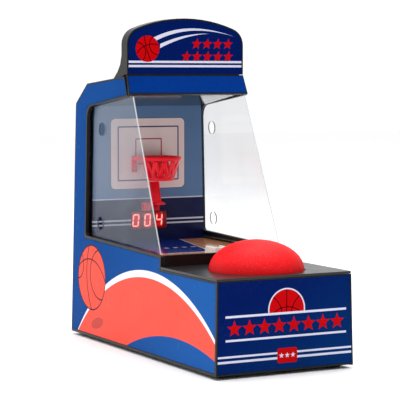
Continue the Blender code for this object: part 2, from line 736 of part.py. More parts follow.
def make_lever():
    """The score lever, whose stem and tail are narrow, on its pin in a forked bracket."""
    axis_y, axis_z = LEVER_AXIS
    turn = (0, math.pi / 2, 0)
    lever = flat("score_lever", LEVER_OUTLINE, LEVER_W, (0, 0, 0), ALONG_X, RED_GLOSS)
    for side in (-1, 1):
        ends = sorted((side * LEVER_STEM_W / 2, side * LEVER_W))
        cut(lever, box(f"stem_waste_{side}", (ends[0], 79.8 * MM, 90 * MM), (ends[1], 95 * MM, 99.7 * MM), BLACK))
    cut(lever, cylinder("lever_pin_hole", LEVER_PIN_R + 0.2 * MM, 30 * MM, (0, axis_y, axis_z), turn, BLACK, sides=12))
    wall, half = WALL_Y - GAP, LEVER_BRACKET_HALF_W
    low, high = LEVER_BRACKET_Z
    bracket = box("lever_bracket", (-half, axis_y - 2.4 * MM, low), (half, wall, high), RED_GLOSS)
    gap_half = LEVER_STEM_W / 2 + 0.4 * MM
    cut(bracket, box("lever_gap", (-gap_half, 70 * MM, 80 * MM), (gap_half, 95 * MM, 120 * MM), BLACK))
    join(bracket, box("lever_bridge", (-2 * MM, axis_y + 1 * MM, low), (2 * MM, wall, low + 0.9 * MM), RED_GLOSS))
    cut(bracket, cylinder("bracket_pin_hole", LEVER_PIN_R + 0.3 * MM, 30 * MM, (0, axis_y, axis_z), turn, BLACK,
                          sides=12))
    cylinder("lever_pin", LEVER_PIN_R, 11 * MM, (0, axis_y, axis_z), turn, STEEL, sides=12)


def make_display():
    """The tinted window in the back wall, with the display module, switch and buzzer on the circuit board behind."""
    low, high = DISPLAY_Z
    half = DISPLAY_HALF_W - GAP
    box("display_window", (-half, WALL_Y - 0.5 * MM, low + GAP), (half, WALL_Y + 1.6 * MM, high - GAP), LENS,
        0.3 * MM, 1)
    module_front = WALL_Y + PANEL_T + GAP
    board_front = module_front + 4 * MM
    box("display_module", (-15 * MM, module_front, low), (15 * MM, board_front - GAP, high), BLACK)
    box("score_switch", (-3 * MM, module_front + 0.2 * MM, 99.2 * MM), (3 * MM, board_front - GAP, 105 * MM), BLACK)
    board_back = board_front + BOARD_T
    box("main_board", (-BOARD_HALF_W, board_front, BOARD_Z[0]), (BOARD_HALF_W, board_back, BOARD_Z[1]), BOARD_GREEN)
    cylinder("buzzer", BUZZER_R, BUZZER_H, (0, board_back + GAP + BUZZER_H / 2, BUZZER_Z), ALONG_Y, BLACK, sides=32)


# ---------------------------------------------------------------- button and launcher

def make_button():
    """The red dome with its skirt and retaining flange, its plunger and its return spring."""
    steps = 10
    skirt_low = DECK_Z - 4.6 * MM
    flange_top = DECK_Z - DECK_T - 0.5 * MM
    inner_r = DOME_R - DOME_T
    profile = []
    for step in range(steps + 1):
        turn = math.pi / 2 * (1 - step / steps)
        profile.append((DOME_R * math.cos(turn), DECK_Z + DOME_H * math.sin(turn)))
    profile[0] = (0.0, profile[0][1])
    profile += [
        (DOME_R, flange_top),
        (PIT_R + 1.6 * MM, flange_top),
        (PIT_R + 1.6 * MM, flange_top - 1.4 * MM),
        (DOME_R, flange_top - 1.4 * MM),
        (DOME_R, skirt_low),
        (inner_r, skirt_low),
    ]
    for step in range(steps + 1):
        turn = math.pi / 2 * step / steps
        profile.append((inner_r * math.cos(turn), DECK_Z + (DOME_H - DOME_T) * math.sin(turn)))
    profile[-1] = (0.0, profile[-1][1])
    origin = DECK_Z
    turned("dome_button", [(r, z - origin) for r, z in profile], (0, BUTTON_Y, origin), BUTTON_RED, sides=56)
    cap_top = DECK_Z + DOME_H - DOME_T - 2.0 * MM
    turned("plunger", [
        (0.0, cap_top), (10 * MM, cap_top), (10 * MM, cap_top - 1.6 * MM), (4 * MM, cap_top - 1.6 * MM),
        (4 * MM, PLUNGER_LOW), (0.0, PLUNGER_LOW),
    ], (0, BUTTON_Y, 0), WHITE, sides=24)
    make_button_spring(cap_top - 1.6 * MM)


def make_button_spring(high):
    low = BRIDGE_Z[1] + GAP
    wire = SPRING_WIRE_R
    turns, points_per_turn = 6, 12
    curve = bpy.data.curves.new("button_spring", "CURVE")
    curve.dimensions = "3D"
    curve.bevel_depth = wire
    curve.bevel_resolution = 1
    curve.use_fill_caps = True
    spline = curve.splines.new("POLY")
    count = turns * points_per_turn
    spline.points.add(count)
    for index, point in enumerate(spline.points):
        turn = 2 * math.pi * index / points_per_turn
        rise = (high - low - 2 * wire - GAP) * index / count
        point.co = (SPRING_R * math.cos(turn), SPRING_R * math.sin(turn), low + wire + rise, 1)
    spring = bpy.data.objects.new("button_spring", curve)
    MACHINE.objects.link(spring)
    spring.location = (0, BUTTON_Y, 0)
    made_mesh(spring, STEEL)


def make_guide():
    """The bridge under the deck, with the boss that guides the plunger."""
    low, high = BRIDGE_Z
    half = inner_half_width(high)
    guide = box("button_guide", (-half, -90 * MM, low), (half, -66 * MM, high), BLACK)
    boss = cylinder("guide_boss", 6.2 * MM, 7 * MM, (0, BUTTON_Y, high + 1.5 * MM), (0, 0, 0), BLACK, sides=24)
    join(guide, boss)
    cut(guide, cylinder("guide_bore", 4.3 * MM, 30 * MM, (0, BUTTON_Y, high), (0, 0, 0), BLACK, sides=24))


def capsule(name, start, end, start_r, end_r, width, mat, arc_steps=7):
    """A link between two round ends, seen from the side, extruded along X."""
    start, end = Vector(start), Vector(end)
    along = (end - start).normalized()
    base = math.atan2(along.y, along.x)
    spread = math.acos((start_r - end_r) / (end - start).length)
    outline = []
    for centre, radius, first, last in ((end, end_r, base - spread, base + spread),
                                        (start, start_r, base + spread, base + 2 * math.pi - spread)):
        for step in range(arc_steps + 1):
            turn = first + (last - first) * step / arc_steps
            outline.append((centre.x + radius * math.cos(turn), centre.y + radius * math.sin(turn)))
    return flat(name, outline, width, (0, 0, 0), ALONG_X, mat)


def pin_hole(name, axis, radius):
    return cylinder(name, radius, 60 * MM, (0, *axis), (0, math.pi / 2, 0), BLACK, sides=16)


def stand(name, axis, half_depth, top, mat):
    """A U-shaped stand on the base plate, with a hole for a pin through both its posts."""
    inside, outside = STAND_X
    low = BASE_Z + PANEL_T + GAP
    web = low + 3 * MM
    outline = [(-outside, low), (outside, low), (outside, top), (inside, top),
               (inside, web), (-inside, web), (-inside, top), (-outside, top)]
    piece = flat(name, outline, 2 * half_depth, (0, axis[0], 0), ALONG_Y, mat)
    cut(piece, pin_hole(f"{name}_hole", axis, PIN_R + PIN_PLAY))
    return piece


def make_rocker():
    rocker = capsule("rocker", ROCKER_AXIS, ROCKER_FRONT, 4 * MM, 2.5 * MM, 10 * MM, WHITE)
    join(rocker, capsule("rocker_back_arm", ROCKER_AXIS, ROCKER_BACK, 3.6 * MM, 2 * MM, 9.6 * MM, WHITE))
    cut(rocker, pin_hole("rocker_hole", ROCKER_AXIS, PIN_R + PIN_PLAY))
    stand("rocker_stand", ROCKER_AXIS, 4 * MM, ROCKER_AXIS[1] + 4.5 * MM, BLACK)
    cylinder("rocker_pin", PIN_R, 22 * MM, (0, *ROCKER_AXIS), (0, math.pi / 2, 0), STEEL, sides=16)


def make_launcher():
    """The white launcher cup that tips up through the well in the court."""
    axis_y, axis_z = LAUNCH_AXIS
    half = LAUNCH_HALF_W
    outline = [
        (LAUNCH_FRONT, 57.5 * MM), (-25 * MM, 57.5 * MM), (-20 * MM, 59.4 * MM), (axis_y, axis_z - 3 * MM),
        (axis_y + 2.6 * MM, axis_z - 1.4 * MM), (axis_y + 2.6 * MM, axis_z + 1.4 * MM), (LAUNCH_BACK, 66 * MM),
        (LAUNCH_BACK, LAUNCH_TOP), (LAUNCH_FRONT, LAUNCH_TOP),
    ]
    arm = flat("launch_arm", outline, 2 * half, (0, 0, 0), ALONG_X, WHITE)
    cup = box("cup_space", (-half + 1.6 * MM, LAUNCH_FRONT + 1.6 * MM, 69.5 * MM),
              (half - 1.6 * MM, LAUNCH_BACK + 5 * MM, LAUNCH_TOP + 5 * MM), BLACK)
    cut(arm, cup)
    cut(arm, pin_hole("launch_hole", LAUNCH_AXIS, PIN_R + PIN_PLAY))
    stand("launch_stand", LAUNCH_AXIS, 2.6 * MM, axis_z + 2.6 * MM, BLACK)
    cylinder("launch_pin", PIN_R, 22 * MM, (0, *LAUNCH_AXIS), (0, math.pi / 2, 0), STEEL, sides=16)


# ---------------------------------------------------------------- batteries, switch and screws

def make_batteries():
    half = DOOR_HALF_W + 2.2 * MM
    front = CELL_Y - CELL_R - 2.4 * MM
    back = end_y(1, DOOR_Z[1]) - PANEL_T - 1.0 * MM
    low, high = DOOR_Z[0] - 2 * MM, DOOR_Z[1] + 2 * MM
    tray = box("battery_tray", (-half, front, low), (half, back, high), BLACK)
    cut(tray, box("tray_space", (-DOOR_HALF_W, front + 1.6 * MM, low + 1.8 * MM),
                  (DOOR_HALF_W, back + 9 * MM, high - 1.8 * MM), BLACK))
    for number, z in enumerate(CELL_Z, 1):
        cell = cylinder(f"battery_{number}", CELL_R, CELL_L - 1 * MM, (0, CELL_Y, z), (0, math.pi / 2, 0), CELL_SKIN)
        end = 1 if number % 2 else -1
        nub = cylinder(f"battery_nub_{number}", 1.9 * MM, 2 * MM, (end * CELL_L / 2, CELL_Y, z),
                       (0, math.pi / 2, 0), STEEL, sides=12)
        join(cell, nub)
    for side, word in ((-1, "left"), (1, "right")):
        x = side * (DOOR_HALF_W - 0.9 * MM)
        box(f"battery_contact_{word}", (x - 0.3 * MM, CELL_Y - 4 * MM, CELL_Z[0] - 4 * MM),
            (x + 0.3 * MM, CELL_Y + 4 * MM, CELL_Z[2] + 4 * MM), STEEL)
    make_door()


def make_door():
    """The battery door, with a captive screw, flush with the leaning back."""
    half = DOOR_HALF_W - GAP
    low, high = DOOR_Z[0] + GAP, DOOR_Z[1] - GAP
    outer = [(end_y(1, low) - GAP, low), (end_y(1, high) - GAP, high)]
    inner = [(y - 1.8 * MM, z) for y, z in reversed(outer)]
    door = flat("battery_door", outer + inner, 2 * half, (0, 0, 0), ALONG_X, BLACK)
    screw_z = high - 5 * MM
    screw_y = end_y(1, screw_z) - GAP
    cut(door, cylinder("screw_seat", 2.6 * MM, 1.8 * MM, (0, screw_y, screw_z), ALONG_Y, BLACK, sides=20))
    cylinder("door_screw", 2.2 * MM, 0.5 * MM, (0, screw_y - 0.3 * MM, screw_z), ALONG_Y, STEEL, sides=20)


def make_switch():
    back = end_y(1, SWITCH_Z) - GAP
    inside = back - PANEL_T
    box("switch_body", (SWITCH_X - 7 * MM, inside - 6 * MM, SWITCH_Z - 4 * MM),
        (SWITCH_X + 7 * MM, inside - 1.8 * MM, SWITCH_Z + 4 * MM), STEEL)
    box("switch_knob", (SWITCH_X - 3.4 * MM, inside - 1.4 * MM, SWITCH_Z - 1.3 * MM),
        (SWITCH_X - 0.2 * MM, back + 0.6 * MM, SWITCH_Z + 1.3 * MM), RED_GLOSS, 0.2 * MM, 1)


def make_cover_screws():
    for side, word in ((-1, "left"), (1, "right")):
        for level, z in COVER_SCREW_Z:
            place = (side * COVER_SCREW_X, end_y(1, z) + 0.2 * MM, z)
            cylinder(f"cover_screw_{level}_{word}", 2.4 * MM, 0.7 * MM, place, ALONG_Y, STEEL, sides=18)


def build():
    walls = []
    for side, word in ((-1, "left"), (1, "right")):
        walls.append(make_side(side, word))
        make_guard(side, word)
    make_front(walls)
    make_base()
    make_deck()
    make_court()
    make_back_wall()
    make_ceiling()
    make_rear_cover()
    make_header()
    make_hoop()
    make_lever()
    make_display()
    make_button()
    make_guide()
    make_rocker()
    make_launcher()
    make_batteries()
    make_switch()
    make_cover_screws()


build()
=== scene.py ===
"""Looks of the desktop basketball hoop machine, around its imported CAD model.

Artwork is drawn by formulas on the sheets that the CAD model holds. Lengths in those formulas are
millimetres in the row frame. Lettering is replaced by rows of plain stars.
"""

import math

import bmesh
import bpy
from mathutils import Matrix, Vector


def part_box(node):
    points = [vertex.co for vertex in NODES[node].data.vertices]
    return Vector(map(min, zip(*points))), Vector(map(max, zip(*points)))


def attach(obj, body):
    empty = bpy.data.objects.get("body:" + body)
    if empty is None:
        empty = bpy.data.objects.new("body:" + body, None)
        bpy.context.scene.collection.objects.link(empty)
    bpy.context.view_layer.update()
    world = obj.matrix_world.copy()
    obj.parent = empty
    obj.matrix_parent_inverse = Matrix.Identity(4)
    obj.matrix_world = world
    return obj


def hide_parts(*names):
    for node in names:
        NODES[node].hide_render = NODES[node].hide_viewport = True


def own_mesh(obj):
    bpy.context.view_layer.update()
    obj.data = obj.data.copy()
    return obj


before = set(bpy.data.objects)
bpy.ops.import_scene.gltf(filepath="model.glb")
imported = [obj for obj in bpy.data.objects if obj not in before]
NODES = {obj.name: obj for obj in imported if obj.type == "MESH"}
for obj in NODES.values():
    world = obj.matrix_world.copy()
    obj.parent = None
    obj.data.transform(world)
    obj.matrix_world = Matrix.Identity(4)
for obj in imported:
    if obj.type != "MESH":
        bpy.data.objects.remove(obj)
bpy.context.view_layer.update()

MM = 0.001
BODY = "cabinet"

# Places on the machine, in millimetres in the row frame
FINGER_HOLE_Y = 72.2
FINGER_HOLES_Z = (87.4, 156.5)
DIGIT_PITCH = 9.8
DIGIT_LEFT = -14.4  # x of the first digit's left edge
FIRST_CELL_LEFT = DIGIT_LEFT - 1.6  # each digit's cell is DIGIT_PITCH wide, and its glow is in the middle


# ---------------------------------------------------------------- colours


def srgb(red, green, blue):
    """A colour given as it looks on a screen, 0 to 255, as the linear colour that a shader takes."""
    def linear(level):
        share = level / 255
        return share / 12.92 if share <= 0.04045 else ((share + 0.055) / 1.055) ** 2.4

    return (linear(red), linear(green), linear(blue), 1.0)


SIDE_BLUE = srgb(2, 67, 138)
SIDE_BLUE_PAINTED_SHEEN = srgb(24, 86, 160)
CORAL = srgb(238, 88, 74)
CORAL_SHADOW = srgb(196, 78, 70)
SEAM_GREY = srgb(66, 40, 42)
NAVY = srgb(0, 23, 88)
NAVY_PAINTED_REFLECTION = srgb(0, 46, 104)
APRON_BLUE = srgb(0, 50, 130)
PRINT_RED = srgb(190, 4, 10)
SEAM_BLACK = srgb(26, 0, 4)
PRINT_WHITE = srgb(238, 238, 248)
STRIPE_WHITE = srgb(210, 211, 230)
WALL_STEEL = srgb(84, 116, 156)
WALL_NAVY = srgb(6, 16, 66)
BOARD_GREY = srgb(226, 208, 206)
BOARD_RED = srgb(170, 16, 50)
COURT_NAVY = srgb(4, 40, 124)
WOOD = srgb(214, 148, 104)
WOOD_DARK = srgb(178, 110, 68)
BLACK = srgb(18, 18, 19)
BLACK_WEAR_AND_EDGE_HIGHLIGHT = srgb(62, 62, 63)
BUTTON_RED = srgb(224, 4, 14)
HOOP_RED = srgb(240, 4, 34)
MILK_WHITE = srgb(236, 236, 232)
LENS_RED = srgb(104, 0, 8)


# ---------------------------------------------------------------- patterns as formulas


class Value:
    """A number that varies over a surface, so that a pattern in a node tree reads as a formula."""

    def __init__(self, tree, socket):
        self.tree = tree
        self.socket = socket

    def calc(self, operation, *others):
        node = self.tree.nodes.new("ShaderNodeMath")
        node.operation = operation
        for slot, term in zip(node.inputs, (self, *others)):
            feed(self.tree, slot, term)
        return Value(self.tree, node.outputs[0])

    def __add__(self, other):
        return self.calc("ADD", other)

    def __sub__(self, other):
        return self.calc("SUBTRACT", other)

    def __mul__(self, other):
        return self.calc("MULTIPLY", other)

    def __truediv__(self, other):
        return self.calc("DIVIDE", other)

    def __and__(self, other):
        return self.calc("MULTIPLY", other)

    def __or__(self, other):
        return self.calc("MAXIMUM", other)

    def abs(self):
        return self.calc("ABSOLUTE")

    def root(self):
        return self.calc("SQRT")

    def repeat(self, pitch):
        """The distance from the middle of the nearest of many equal steps."""
        return self.calc("FLOORED_MODULO", pitch) - pitch / 2

    def at_least(self, low):
        return self.calc("MAXIMUM", low)

    def below(self, limit, blur=0.07):
        """1 where this is under limit and 0 where it is over, with a soft step between."""
        return (self - limit).stretch(-blur, blur, 1, 0)

    def above(self, limit, blur=0.07):
        return (self - limit).stretch(-blur, blur, 0, 1)

    def between(self, low, high, blur=0.07):
        return self.above(low, blur) & self.below(high, blur)

    def stretch(self, low, high, to_low=0, to_high=1):
        node = self.tree.nodes.new("ShaderNodeMapRange")
        node.interpolation_type = "SMOOTHSTEP"
        for slot, term in zip(node.inputs, (self, low, high, to_low, to_high)):
            feed(self.tree, slot, term)
        return Value(self.tree, node.outputs[0])


def feed(tree, slot, term):
    """Puts a value, a socket, a colour or a number into a node's input."""
    if isinstance(term, Value):
        term = term.socket
    if isinstance(term, bpy.types.NodeSocket):
        tree.links.new(term, slot)
    else:
        slot.default_value = term


class Surface:
    """One material: its Principled shader, its place in millimetres, and its colours one over the other."""

    def __init__(self, name, colour, **settings):
        self.mat = bpy.data.materials.new(name)
        self.mat.use_nodes = True
        self.tree = self.mat.node_tree
        self.shader = self.tree.nodes["Principled BSDF"]
        self.output = self.tree.nodes["Material Output"]
        self.mat.diffuse_color = colour
        self.colour = colour
        for key, value in settings.items():
            self.shader.inputs[key].default_value = value
        coordinates = self.node("ShaderNodeTexCoord")
        scaled = self.node("ShaderNodeVectorMath", operation="SCALE")
        scaled.inputs["Scale"].default_value = 1 / MM
        self.link(coordinates.outputs["Object"], scaled.inputs[0])
        self.spot = scaled.outputs[0]
        self.facing = coordinates.outputs["Normal"]

    def node(self, kind, **settings):
        node = self.tree.nodes.new(kind)
        for key, value in settings.items():
            setattr(node, key, value)
        return node

    def link(self, source, target):
        self.tree.links.new(source, target)

    def value(self, socket):
        return Value(self.tree, socket)

    def axes(self, vector=None):
        """The x, y and z of a vector, which is the place in millimetres if none is given."""
        apart = self.node("ShaderNodeSeparateXYZ")
        self.link(vector or self.spot, apart.inputs[0])
        return [self.value(output) for output in apart.outputs]

    def noise(self, size, detail=2.0, stretch=(1, 1, 1), roughness=0.5):
        """Noise from 0 to 1. Its lumps are about size millimetres, and longer along a stretched axis."""
        squeezed = self.node("ShaderNodeVectorMath", operation="MULTIPLY")
        self.link(self.spot, squeezed.inputs[0])
        squeezed.inputs[1].default_value = [1 / share for share in stretch]
        texture = self.node("ShaderNodeTexNoise")
        self.link(squeezed.outputs[0], texture.inputs["Vector"])
        texture.inputs["Scale"].default_value = 1 / size
        texture.inputs["Detail"].default_value = detail
        texture.inputs["Roughness"].default_value = roughness
        return self.value(texture.outputs["Fac"])

    def paint(self, mask, colour):
        """Lays a colour over the others where the mask is 1."""
        node = self.node("ShaderNodeMix", data_type="RGBA")
        feed(self.tree, node.inputs[0], mask)
        feed(self.tree, node.inputs[6], self.colour)
        feed(self.tree, node.inputs[7], colour)
        self.colour = node.outputs[2]

    def edges(self, radius=0.5):
        """Close to 1 on sharp edges and corners and 0 on flat faces."""
        rounded = self.node("ShaderNodeBevel", samples=4)
        rounded.inputs["Radius"].default_value = radius * MM
        geometry = self.node("ShaderNodeNewGeometry")
        dot = self.node("ShaderNodeVectorMath", operation="DOT_PRODUCT")
        self.link(rounded.outputs[0], dot.inputs[0])
        self.link(geometry.outputs["Normal"], dot.inputs[1])
        return self.value(dot.outputs["Value"]).stretch(1.0, 0.9, 0, 1)

    def bump(self, height, strength=1.0):
        """Height in millimetres."""
        node = self.node("ShaderNodeBump")
        node.inputs["Strength"].default_value = strength
        node.inputs["Distance"].default_value = MM
        feed(self.tree, node.inputs["Height"], height)
        self.link(node.outputs[0], self.shader.inputs["Normal"])

    def done(self, roughness=None):
        feed(self.tree, self.shader.inputs["Base Color"], self.colour)
        if roughness is not None:
            feed(self.tree, self.shader.inputs["Roughness"], roughness)
        return self.mat


def apart(u, v, centre):
    """The distance of each point from a centre."""
    across = u - centre[0]
    up = v - centre[1]
    return (across * across + up * up).root()


def line(distance, radius, width):
    return (distance - radius).abs().below(width / 2)


def rounded_box(u, v, low, high, radius):
    """The distance outside a rounded rectangle whose corners are low and high: below 0 inside it."""
    middle = [(a + b) / 2 for a, b in zip(low, high)]
    half = [(b - a) / 2 - radius for a, b in zip(low, high)]
    across = ((u - middle[0]).abs() - half[0]).at_least(0)
    up = ((v - middle[1]).abs() - half[1]).at_least(0)
    return (across * across + up * up).root() - radius


def turned(u, v, centre, degrees):
    """u and v from a centre, along axes that are turned by that angle."""
    cos, sin = math.cos(math.radians(degrees)), math.sin(math.radians(degrees))
    across, up = u - centre[0], v - centre[1]
    return across * cos + up * sin, up * cos - across * sin


def star(u, v, radius):
    """A five-pointed star round the origin of u and v."""
    tip_angle = 2 * math.pi / 5
    inner = 0.42 * radius
    angle = u.calc("ARCTAN2", v) / tip_angle
    from_tip = ((angle + 0.5).calc("FLOORED_MODULO", 1.0) - 0.5).abs() * tip_angle
    far = apart(u, v, (0, 0))
    along = far * from_tip.calc("COSINE")
    aside = far * from_tip.calc("SINE")
    valley = (inner * math.cos(tip_angle / 2), inner * math.sin(tip_angle / 2))
    length = math.hypot(radius - valley[0], valley[1])
    outside = ((along - radius) * valley[1] + aside * (radius - valley[0])) / length
    return outside.below(0)


def star_row(u, v, middle, count, pitch, radius, slant=0.0):
    """A row of equal stars round a middle point."""
    leaning = u - (v - middle[1]) * slant
    half = count * pitch / 2
    inside = (leaning - middle[0]).abs().below(half)
    step = (leaning - (middle[0] - half)).repeat(pitch)
    return star(step, v - middle[1], radius) & inside


def ball(surface, u, v, centre, radius, seams, width, fill, ink, shown=1):
    """A basketball seen flat: a disc and its seams."""
    far = apart(u, v, centre)
    disc = far.below(radius) & shown
    surface.paint(disc, fill)
    for across, up, bend in seams:
        middle = (centre[0] + across * radius, centre[1] + up * radius)
        surface.paint(line(apart(u, v, middle), bend * radius, width) & disc, ink)
    return far


# Seams of the three printed balls: each is a circle, as its centre and radius in shares of the ball's radius.
FRONTAL_SEAMS = ((40, 0, 40), (0, -1.164, 1.284), (-1.475, -0.35, 1.226), (1.475, -0.35, 1.226))
SIDE_SEAMS = ((-0.14, -0.8, 1.36), (-1.05, 0.32, 0.44), (1.65, 0.2, 2.02), (0.66, 0.15, 0.77))
FLYING_SEAMS = ((-0.96, -0.3, 0.8), (0.44, -1.26, 1.62), (5.86, 1.73, 6.18), (0.92, 0.3, 0.76))


# ---------------------------------------------------------------- materials


PRINT_SPECULAR = 0.012
ORANGE_PEEL = 0.006  # millimetres high
SCRATCH_HEIGHT = 0.002


def black_plastic(name, gloss, roughness=0.22):
    """Moulded ABS: a fine spark grain, paler worn patches, slightly polished where hands rub, and a painted
    highlight along its sharp edges.
    """
    s = Surface(name, BLACK, **{"Specular IOR Level": gloss})
    s.paint(s.noise(18, 3).stretch(0.4, 0.75, 0, 0.1), BLACK_WEAR_AND_EDGE_HIGHLIGHT)
    # Painted highlight: sharp edges are lightened towards grey.
    s.paint(s.edges() * 0.2, BLACK_WEAR_AND_EDGE_HIGHLIGHT)
    grain = s.noise(0.28, 2)
    smudge = s.noise(9, 4)
    s.bump(grain * 0.02 + s.noise(1.1, 2) * 0.012, 0.55)
    return s.done(smudge * 0.12 + roughness + grain * 0.05)


def ink_film(s, gloss):
    """The gloss, orange peel and hair scratches of a printed and laminated sheet."""
    dots = s.noise(0.35, 1)
    s.paint(dots.stretch(0.58, 0.8, 0, 0.025), (1, 1, 1, 1))
    s.paint(s.noise(30, 3).stretch(0.45, 0.8, 0, 0.10), (0, 0, 0, 1))
    scratch = s.noise(0.5, 3, stretch=(1, 26, 5)).stretch(0.68, 0.74, 0, 1)
    scuff = s.noise(14, 4).stretch(0.5, 0.8, 0, 1)
    s.bump(s.noise(2.4, 2) * ORANGE_PEEL + scratch * SCRATCH_HEIGHT, 0.5)
    return s.done(scratch * 0.12 + scuff * 0.08 + gloss)


def side_print():
    """Blue sheet with a coral hill in a white border, a ball and its shadow. u runs to the back."""
    s = Surface("side_print", SIDE_BLUE, **{"Specular IOR Level": PRINT_SPECULAR})
    _, y, z = s.axes()
    # Painted sheen: the blue is paler towards the front and the bottom.
    s.paint((y + z * 0.3).stretch(90, -90), SIDE_BLUE_PAINTED_SHEEN)
    blue = s.colour
    hill_middle = -15.6
    rim = apart(y, z, (hill_middle, -91.7)).below(152.7)
    inside = apart(y, z, (hill_middle, -104.1)).below(160.1)
    valley = apart(y, z, (-58.7, -180.8)).below(200.6)
    s.paint(rim, PRINT_WHITE)
    s.paint(inside, CORAL)
    s.paint(valley & inside, blue)
    across, up = turned(y, z, (68.2, 13.9), -14)
    squashed = apart(across, up * 2.7, (0, 0))
    s.paint(squashed.below(10.6, 0.3), CORAL_SHADOW)
    centre, radius = (79.3, 46.6), 23.9
    far = ball(s, y * -1, z, (-centre[0], centre[1]), radius, SIDE_SEAMS, 0.95, CORAL, SEAM_GREY)
    s.paint(line(far, radius, 0.95), SEAM_GREY)
    return ink_film(s, 0.24)


def front_print():
    """Navy sheet with a half ball, stripes, a row of stars and a plain red plate."""
    s = Surface("front_print", NAVY, **{"Specular IOR Level": PRINT_SPECULAR})
    x, _, z = s.axes()
    # Painted reflection: the navy is lighter towards the right and the bottom.
    s.paint((x * 0.6 - z).stretch(-75, 30, 0, 0.85), NAVY_PAINTED_REFLECTION)
    middle, radius = (0.7, 43.1), 13.2
    above_stripe = z.above(41.4)
    s.paint(apart(x, z, middle).below(radius + 0.9) & above_stripe, STRIPE_WHITE)
    ball(s, x, z, middle, radius, FRONTAL_SEAMS, 0.6, PRINT_RED, SEAM_BLACK, above_stripe)
    wide = x.between(-45.2, 46.9)
    s.paint(z.between(39.9, 41.4) & wide, STRIPE_WHITE)
    s.paint(z.between(24.5, 25.9) & wide, STRIPE_WHITE)
    s.paint(z.between(14.0, 15.3), STRIPE_WHITE)
    s.paint(z.between(10.6, 12.1), STRIPE_WHITE)
    s.paint(star_row(x, z, (0.6, 32.7), 8, 11.2, 5.7), PRINT_RED)
    plate = rounded_box(x, z, (-6.6, 7.9), (8.6, 17.7), 1.6)
    s.paint(plate.below(0), PRINT_RED)
    s.paint(star_row(x, z, (1.0, 12.8), 3, 4.4, 1.9), STRIPE_WHITE)
    return ink_film(s, 0.3)


def header_print():
    """Navy marquee sheet with a flying ball and its two trails, over the paler blue of the apron."""
    s = Surface("header_print", NAVY, **{"Specular IOR Level": PRINT_SPECULAR})
    x, _, z = s.axes()
    from_top = x - 8
    high = (from_top * from_top * from_top * 0.000028 - from_top * from_top * 0.0056 + 229.1 - z).abs()
    s.paint(high.below((x * -1 + 38.6) * 0.025) & x.above(-26), STRIPE_WHITE)
    low = ((x - 20) * (x - 20) * -0.0055 + 226.2 - z).abs()
    s.paint(low.below((x * -1 + 18.6) * 0.037) & x.above(-21), STRIPE_WHITE)
    s.paint(z.between(204.9, 206.5), STRIPE_WHITE)
    s.paint(z.between(201.9, 203.5), STRIPE_WHITE)
    ball(s, x, z, (-31.0, 215.0), 9.4, FLYING_SEAMS, 0.6, PRINT_RED, SEAM_BLACK)
    s.paint(star_row(x, z, (21.5, 218.7), 4, 8.6, 4.3, 0.2), PRINT_RED)
    s.paint(star_row(x, z, (17.4, 209.6), 5, 8.6, 4.3, 0.2), PRINT_RED)
    s.paint(z.below(196.6), APRON_BLUE)
    return ink_film(s, 0.26)


def court_print():
    """Strip floor with a blue lane, white lines and a dashed line."""
    s = Surface("court_print", WOOD, **{"Coat Weight": 0.4, "Coat Roughness": 0.06})
    x, y, _ = s.axes()
    plank = x.repeat(6.0)
    grain = s.noise(0.8, 4, stretch=(1, 14, 1))
    s.paint(grain.stretch(0.42, 0.72, 0, 0.8), WOOD_DARK)
    s.paint(s.noise(6, 2, stretch=(1, 6, 1)).stretch(0.4, 0.7, 0, 0.45), WOOD_DARK)
    s.paint(plank.abs().above(2.9) * 0.6, WOOD_DARK)
    lane_edge = (y - 16.1) * 0.2079 + 11.3
    lane = (x - lane_edge).below(0) & y.above(6.0)
    s.paint(lane, COURT_NAVY)
    s.paint((x - lane_edge).abs().below(0.55) & y.above(6.0), PRINT_WHITE)
    s.paint(y.between(5.2, 6.3) & (x - lane_edge).below(0), PRINT_WHITE)
    dashes = (x + 14.6).repeat(7.3).abs().below(1.65) & x.abs().below(14.6)
    s.paint(dashes & y.between(34.8, 38.2) & lane, PRINT_WHITE)
    return ink_film(s, 0.17)


def wall_print():
    """Back wall: steel blue over navy, with a backboard, its frame and target, and stripes."""
    s = Surface("wall_print", WALL_STEEL, **{"Specular IOR Level": 0.15})
    x, _, z = s.axes()
    s.paint(z.stretch(178, 140, 0.0, 0.25), srgb(104, 136, 172))
    s.paint(z.below(103.3), WALL_NAVY)
    for low, high in ((102.9, 103.7), (86.4, 87.6), (83.4, 84.6)):
        s.paint(z.between(low, high), srgb(206, 212, 226))
    board = rounded_box(x, z, (-31.6, 110.9), (30.2, 163.7), 3.6)
    s.paint((board - 0.5).below(0), srgb(66, 84, 112))
    s.paint(board.below(0), BOARD_GREY)
    frame_line = rounded_box(x, z, (-25.6, 117.2), (24.8, 157.5), 0.6)
    s.paint(frame_line.abs().below(0.5), srgb(32, 42, 92))
    target = rounded_box(x, z, (-10.9, 129.5), (10.5, 148.3), 0.6)
    s.paint(target.abs().below(0.45), BOARD_RED)
    return ink_film(s, 0.3)


def dome_red():
    """Satin moulded button: even red with a faint moulding grain and finger rub on top."""
    s = Surface(
        "button_red",
        BUTTON_RED,
        **{"Specular IOR Level": 0.14},
    )
    _, _, z = s.axes()
    s.paint(s.noise(16, 3).stretch(0.4, 0.7, 0, 0.18), srgb(224, 14, 24))
    s.paint(s.noise(0.5, 2).stretch(0.55, 0.75, 0, 0.06), (1, 1, 1, 1))
    rub = z.stretch(78, 86, 0, 1) & s.noise(7, 3)
    s.bump(s.noise(0.3, 2) * 0.008 + s.noise(3, 2) * 0.01, 0.4)
    return s.done(s.noise(9, 4) * 0.08 + 0.52 - rub * 0.06)


